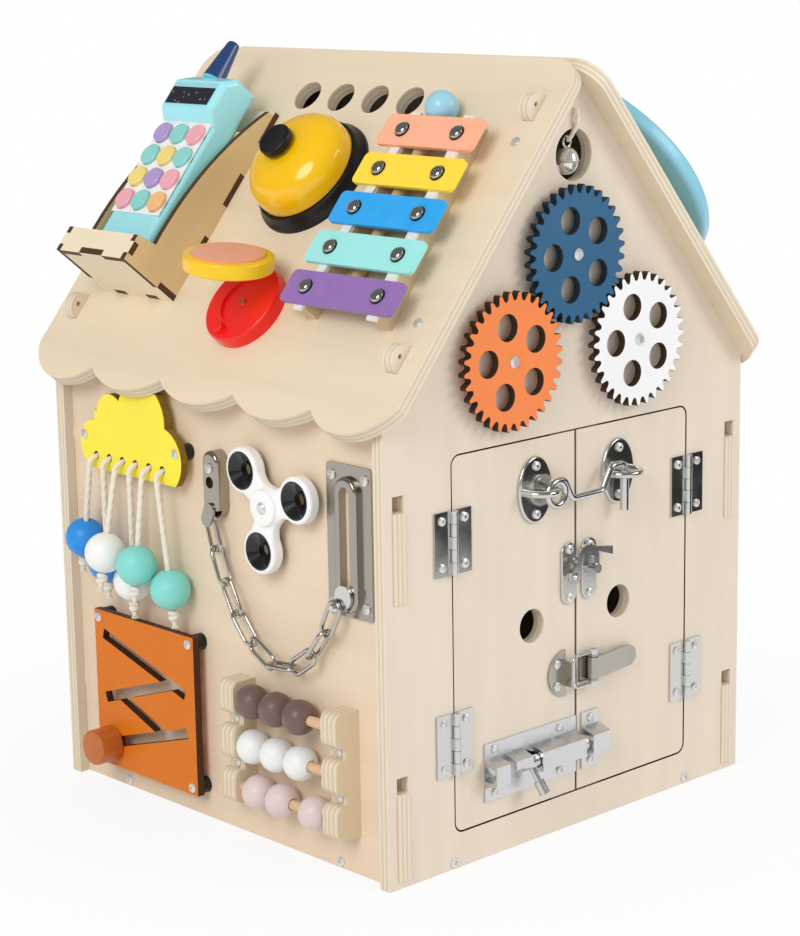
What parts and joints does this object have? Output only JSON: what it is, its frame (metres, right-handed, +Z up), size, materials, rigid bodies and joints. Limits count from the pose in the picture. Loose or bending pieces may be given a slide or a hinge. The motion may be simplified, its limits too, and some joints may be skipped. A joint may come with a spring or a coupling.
{
  "type": "activity house",
  "caption": "Plywood house toy with latched double doors, meshed gears and side wall and roof activities: chain, maze, beads, spinner, phone, bell, xylophone, castanet and steering wheel.",
  "frame": {"origin": "middle of the house's footprint on the underside of its floor and walls", "axes": "+Z up, the front gable with the doors faces -Y, the wall with the chain and maze faces -X"},
  "size_m": [0.3471, 0.3266, 0.4555],
  "materials": {
    "ply_front": "pale birch ply",
    "ply_wall": "pale birch ply",
    "ply_roof": "pale birch ply",
    "nickel": "bright plated",
    "steel": "bright pressed steel",
    "black_plastic": "satin",
    "yellow_paint": "painted",
    "orange_paint": "painted",
    "knob_wood": "stained",
    "bare_wood": "bare softwood",
    "rod_wood": "sanded",
    "bell_metal": "gloss yellow",
    "felt": "felt",
    "bar_paint": "matt enamel, one colour to each bar",
    "red_paint": "gloss lacquer",
    "lid_paint": "gloss lacquer",
    "blue_paint": "painted",
    "coral_paint": "painted",
    "white_paint": "painted",
    "mauve_paint": "painted bead",
    "pink_paint": "painted bead",
    "bead_paint": "painted bead, three colours",
    "cord": "braided cotton",
    "phone_plastic": "moulded",
    "key_plastic": "moulded, mixed colours",
    "gold_metal": "bright",
    "ball_paint": "painted",
    "wheel_plastic": "moulded",
    "spinner_plastic": "moulded"
  },
  "bodies": {
    "house": {"front_gable": "ply_front", "back_gable": "ply_front", "left_wall": "ply_wall", "right_wall": "ply_wall", "floor_panel": "ply_wall", "left_roof": "ply_roof", "right_roof": "ply_roof", "house_screws": "nickel", "frame_hinge_leaves": "nickel", "pivot_posts": "steel", "chain_plates": "nickel", "door_chain": "nickel", "cloud_plate": "yellow_paint", "plate_spacers": "black_plastic", "maze_plate": "orange_paint", "abacus_frame": "rod_wood", "phone_cradle": "bare_wood", "bell_base": "black_plastic", "bell_dome": "bell_metal", "xylophone_rails": "bare_wood", "xylophone_felts": "felt", "xylophone_bars": "bar_paint", "castanet_base": "red_paint", "bell_cord": "cord"},
    "left_door": {"left_door": "ply_front", "left_door_leaves": "nickel", "hook_eye_plate": "nickel", "clasp_hook_base": "nickel", "draw_latch_strike": "steel", "bolt_plate": "steel"},
    "right_door": {"right_door": "ply_front", "right_door_leaves": "nickel", "hook_staple_plate": "nickel", "clasp_post_base": "nickel", "draw_latch_base": "steel", "bolt_keeper": "steel"},
    "cabin_hook": {"cabin_hook": "nickel"},
    "bolt_rod": {"bolt_rod": "steel"},
    "clasp_hook": {"clasp_hook": "nickel"},
    "draw_latch_lever": {"draw_latch_lever": "steel"},
    "draw_latch_bail": {"draw_latch_bail": "steel"},
    "blue_gear": {"blue_gear": "blue_paint"},
    "orange_gear": {"orange_gear": "coral_paint"},
    "white_gear": {"white_gear": "white_paint"},
    "spinner": {"spinner_body": "spinner_plastic", "spinner_rings": "black_plastic"},
    "chain_slider": {"chain_slider": "nickel"},
    "maze_knob": {"maze_knob": "knob_wood"},
    "upper_beads": {"upper_beads": "mauve_paint"},
    "middle_beads": {"middle_beads": "white_paint"},
    "lower_beads": {"lower_beads": "pink_paint"},
    "phone": {"phone_body": "phone_plastic"},
    "phone_keys": {"phone_keys": "key_plastic"},
    "bell_button": {"bell_button": "black_plastic"},
    "castanet_lid": {"castanet_lid": "lid_paint"},
    "mallet": {"mallet": "ball_paint"},
    "steering_wheel": {"steering_wheel": "wheel_plastic"},
    "jingle_bell": {"jingle_bell": "gold_metal"},
    "rain": {"rain_cords": "cord", "rain_beads": "bead_paint"}
  },
  "joints": [
    {"name": "left_door_swing", "type": "hinge", "parent": "house", "child": "left_door", "pos_m": [-0.09905, -0.1502, 0.13], "axis": [0, 0, 1], "range_deg": [-90, 0]},
    {"name": "right_door_swing", "type": "hinge", "parent": "house", "child": "right_door", "pos_m": [0.09905, -0.1502, 0.13], "axis": [0, 0, 1], "range_deg": [0, 90]},
    {"name": "cabin_hook_lift", "type": "hinge", "parent": "left_door", "child": "cabin_hook", "pos_m": [-0.02361, -0.1565, 0.2069], "axis": [0, -1, 0], "range_deg": [0, 135]},
    {"name": "clasp_hook_swing", "type": "hinge", "parent": "left_door", "child": "clasp_hook", "pos_m": [-0.0057, -0.1537, 0.1539], "axis": [0, -1, 0], "range_deg": [0, 90]},
    {"name": "bolt_slide", "type": "slide", "parent": "left_door", "child": "bolt_rod", "axis": [1, 0, 0], "range_m": [-0.011, 0]},
    {"name": "draw_lever_swing", "type": "hinge", "parent": "right_door", "child": "draw_latch_lever", "pos_m": [0.011, -0.153, 0.096], "axis": [0, 0, 1], "range_deg": [-100, 0]},
    {"name": "draw_bail_swing", "type": "hinge", "parent": "right_door", "child": "draw_latch_bail", "pos_m": [0.011, -0.153, 0.096], "axis": [0, 0, 1], "range_deg": [0, 50]},
    {"name": "blue_gear_spin", "type": "hinge", "parent": "house", "child": "blue_gear", "pos_m": [-0.0052, -0.15245, 0.3411], "axis": [0, -1, 0], "continuous": true},
    {"name": "orange_gear_spin", "type": "hinge", "parent": "house", "child": "orange_gear", "pos_m": [-0.05722, -0.15245, 0.28666], "axis": [0, -1, 0], "continuous": true},
    {"name": "white_gear_spin", "type": "hinge", "parent": "house", "child": "white_gear", "pos_m": [0.04682, -0.15245, 0.28666], "axis": [0, -1, 0], "continuous": true},
    {"name": "spinner_spin", "type": "hinge", "parent": "house", "child": "spinner", "pos_m": [-0.1516, -0.0554, 0.2051], "axis": [-1, 0, 0], "continuous": true},
    {"name": "chain_slide", "type": "slide", "parent": "house", "child": "chain_slider", "axis": [0, 0, 1], "range_m": [0, 0.055], "deforming": ["door_chain"]},
    {"name": "maze_knob_slide", "type": "slide", "parent": "house", "child": "maze_knob", "axis": [0, -0.9562, 0.2929], "range_m": [0, 0.074]},
    {"name": "upper_beads_slide", "type": "slide", "parent": "house", "child": "upper_beads", "axis": [0, 1, 0], "range_m": [-0.014, 0]},
    {"name": "middle_beads_slide", "type": "slide", "parent": "house", "child": "middle_beads", "axis": [0, 1, 0], "range_m": [-0.014, 0]},
    {"name": "lower_beads_slide", "type": "slide", "parent": "house", "child": "lower_beads", "axis": [0, 1, 0], "range_m": [-0.0022, 0.0037]},
    {"name": "phone_lift", "type": "slide", "parent": "house", "child": "phone", "axis": [0.1693, 0, 0.9856], "range_m": [0, 0.12]},
    {"name": "phone_keys_press", "type": "slide", "parent": "phone", "child": "phone_keys", "axis": [0.7688, 0, -0.6394], "range_m": [0, 0.0015], "stiffness_N_per_m": 400},
    {"name": "bell_button_press", "type": "slide", "parent": "house", "child": "bell_button", "axis": [0.7688, 0, -0.6394], "range_m": [0, 0.0018], "stiffness_N_per_m": 400},
    {"name": "castanet_lid_swing", "type": "hinge", "parent": "house", "child": "castanet_lid", "pos_m": [-0.11335, -0.01402, 0.33477], "axis": [0.122, 0.9816, 0.1467], "range_deg": [-44, 40]},
    {"name": "mallet_slide", "type": "slide", "parent": "house", "child": "mallet", "axis": [0.6008, 0, 0.7994], "range_m": [0, 0.13]},
    {"name": "steering_wheel_spin", "type": "hinge", "parent": "house", "child": "steering_wheel", "pos_m": [0.09357, -0.072, 0.37591], "axis": [0.7688, 0, 0.6394], "continuous": true},
    {"name": "jingle_bell_swing", "type": "hinge", "parent": "house", "child": "jingle_bell", "pos_m": [0, -0.1425, 0.4029], "axis": [1, 0, 0], "range_deg": [-20, 20], "deforming": ["bell_cord"]},
    {"name": "rain_swing", "type": "hinge", "parent": "house", "child": "rain", "pos_m": [-0.1572, 0.07085, 0.2118], "axis": [0, 1, 0], "range_deg": [0, 30], "deforming": ["rain_cords"]}
  ],
  "couplings": [
    {"joint": "right_door_swing", "follows": "left_door_swing", "ratio": -1},
    {"joint": "cabin_hook_lift", "follows": "left_door_swing", "ratio": -1.5},
    {"joint": "clasp_hook_swing", "follows": "left_door_swing", "ratio": -1},
    {"joint": "draw_bail_swing", "follows": "draw_lever_swing", "ratio": -0.5},
    {"joint": "orange_gear_spin", "follows": "blue_gear_spin", "ratio": -1},
    {"joint": "white_gear_spin", "follows": "blue_gear_spin", "ratio": -1}
  ]
}
